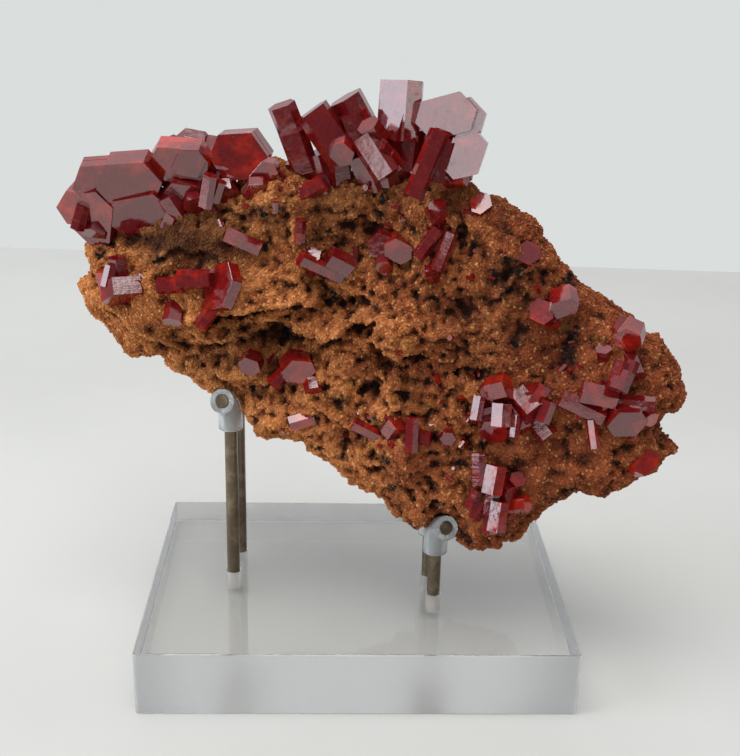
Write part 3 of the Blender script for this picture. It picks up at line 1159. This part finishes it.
def add_panel_light(name, place, target, size, power, colour):
    """A soft rectangular light that looks at its target."""
    data = bpy.data.lights.new(name, "AREA")
    data.shape = "RECTANGLE"
    data.size, data.size_y = size
    data.energy = power
    data.color = colour
    light = add_object(name, data)
    light.location = place
    light.rotation_euler = (Vector(target) - Vector(place)).to_track_quat("-Z", "Y").to_euler()


def add_table():
    drop = TABLE_DROP * MM
    corners = [(-TABLE_HALF, TABLE_NEAR, drop), (TABLE_HALF, TABLE_NEAR, drop),
               (*TABLE_FAR_RIGHT, drop), (*TABLE_FAR_LEFT, drop)]
    mesh = bpy.data.meshes.new("table")
    mesh.from_pydata(corners, [], [(0, 1, 2, 3)])
    mesh.materials.append(floor_material())
    plane = add_object("table", mesh)


def make_world():
    """A room that is bright overhead and to the left, and dim behind the viewer."""
    world = bpy.data.worlds.new("soft_room")
    world.use_nodes = True
    nodes, links = world.node_tree.nodes, world.node_tree.links
    place = nodes.new("ShaderNodeTexCoord")
    parts = nodes.new("ShaderNodeSeparateXYZ")
    links.new(place.outputs["Generated"], parts.inputs[0])
    total = nodes.new("ShaderNodeMath")
    for k, (part, curve, ends) in enumerate((("Z", "SMOOTHSTEP", (0.42, 0.92, ROOM_DIM, ROOM_BRIGHT)),
                                             ("Y", "LINEAR", (0.0, 0.8, 0.0, ROOM_BEHIND)))):
        ramp = nodes.new("ShaderNodeMapRange")
        ramp.interpolation_type = curve
        links.new(parts.outputs[part], ramp.inputs["Value"])
        for name, value in zip(("From Min", "From Max", "To Min", "To Max"), ends):
            ramp.inputs[name].default_value = value
        links.new(ramp.outputs[0], total.inputs[k])
    background = nodes["Background"]
    background.inputs["Color"].default_value = (*ROOM_COLOUR, 1)
    links.new(total.outputs[0], background.inputs["Strength"])
    backdrop = nodes.new("ShaderNodeBackground")
    backdrop.inputs["Color"].default_value = (*BACKDROP, 1)
    seen = nodes.new("ShaderNodeLightPath")
    chosen = nodes.new("ShaderNodeMixShader")
    links.new(seen.outputs["Is Camera Ray"], chosen.inputs[0])
    links.new(background.outputs[0], chosen.inputs[1])
    links.new(backdrop.outputs[0], chosen.inputs[2])
    links.new(chosen.outputs[0], nodes["World Output"].inputs["Surface"])
    bpy.context.scene.world = world
    bpy.context.scene.view_settings.view_transform = "Standard"


# ---------------------------------------------------------------- operators
class SPECIMEN_OT_stage(Operator):
    """Make the floor, the lights, the room and the camera"""

    bl_idname = "specimen.stage"
    bl_label = "Stage"

    def execute(self, context):
        place_camera()
        make_world()
        add_table()
        for light in LIGHTS:
            add_panel_light(*light)
        return {"FINISHED"}


class SPECIMEN_OT_block(Operator):
    """Make the acrylic block of the stand"""

    bl_idname = "specimen.block"
    bl_label = "Block"

    def execute(self, context):
        make_block()
        return {"FINISHED"}


class SPECIMEN_OT_rods(Operator):
    """Make the four steel rods that stand in the block"""

    bl_idname = "specimen.rods"
    bl_label = "Rods"

    def execute(self, context):
        steel = rod_material()
        for name, prong in PRONGS.items():
            make_rod(name, prong, steel)
        return {"FINISHED"}


class SPECIMEN_OT_sleeves(Operator):
    """Make the clear sleeves on the rods' bent ends"""

    bl_idname = "specimen.sleeves"
    bl_label = "Sleeves"

    def execute(self, context):
        vinyl = vinyl_material()
        for name, prong in PRONGS.items():
            make_sleeve(name, prong, vinyl)
        return {"FINISHED"}


class SPECIMEN_OT_rock(Operator):
    """Make the matrix with its fine relief"""

    bl_idname = "specimen.rock"
    bl_label = "Rock"

    def execute(self, context):
        make_rock()
        return {"FINISHED"}


class SPECIMEN_OT_grains(Operator):
    """Strew the rock with grains and with small crystals"""

    bl_idname = "specimen.grains"
    bl_label = "Grains"

    def execute(self, context):
        rock = bpy.data.objects.get("matrix_rock")
        if rock is None:
            raise RuntimeError("the grains need the rock first")
        make_grains(rock)
        return {"FINISHED"}


class SPECIMEN_OT_crystals(Operator):
    """Make the vanadinite crystals, one piece for each group that has grown together"""

    bl_idname = "specimen.crystals"
    bl_label = "Crystals"

    def execute(self, context):
        s = settings()
        material = crystal_material("vanadinite", tuple(s.crystal_deep), tuple(s.crystal_bright), 0.35)
        for seed, (name, rows) in enumerate(CRYSTALS.items()):
            make_crystal_group(name, rows, material, seed + 11)
        return {"FINISHED"}


class SPECIMEN_PT_panel(Panel):
    """Lists the specimen's pieces"""

    bl_label = "Specimen"
    bl_space_type = "VIEW_3D"
    bl_region_type = "UI"
    bl_category = "Specimen"

    def draw(self, context):
        for operator in OPERATORS:
            self.layout.operator(operator.bl_idname)
        for name in SpecimenSettings.__annotations__:
            self.layout.prop(context.scene.specimen_settings, name)


OPERATORS = (SPECIMEN_OT_stage, SPECIMEN_OT_block, SPECIMEN_OT_rods, SPECIMEN_OT_sleeves,
             SPECIMEN_OT_rock, SPECIMEN_OT_grains, SPECIMEN_OT_crystals)
CLASSES = (SpecimenSettings, *OPERATORS, SPECIMEN_PT_panel)


def register():
    for item in CLASSES:
        bpy.utils.register_class(item)
    bpy.types.Scene.specimen_settings = PointerProperty(type=SpecimenSettings)


def unregister():
    del bpy.types.Scene.specimen_settings
    for item in reversed(CLASSES):
        bpy.utils.unregister_class(item)


def main():
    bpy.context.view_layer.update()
    register()
    bpy.ops.specimen.stage()
    bpy.ops.specimen.block()
    bpy.ops.specimen.rods()
    bpy.ops.specimen.sleeves()
    bpy.ops.specimen.rock()
    bpy.ops.specimen.grains()
    bpy.ops.specimen.crystals()


if __name__ == "__main__":
    main()
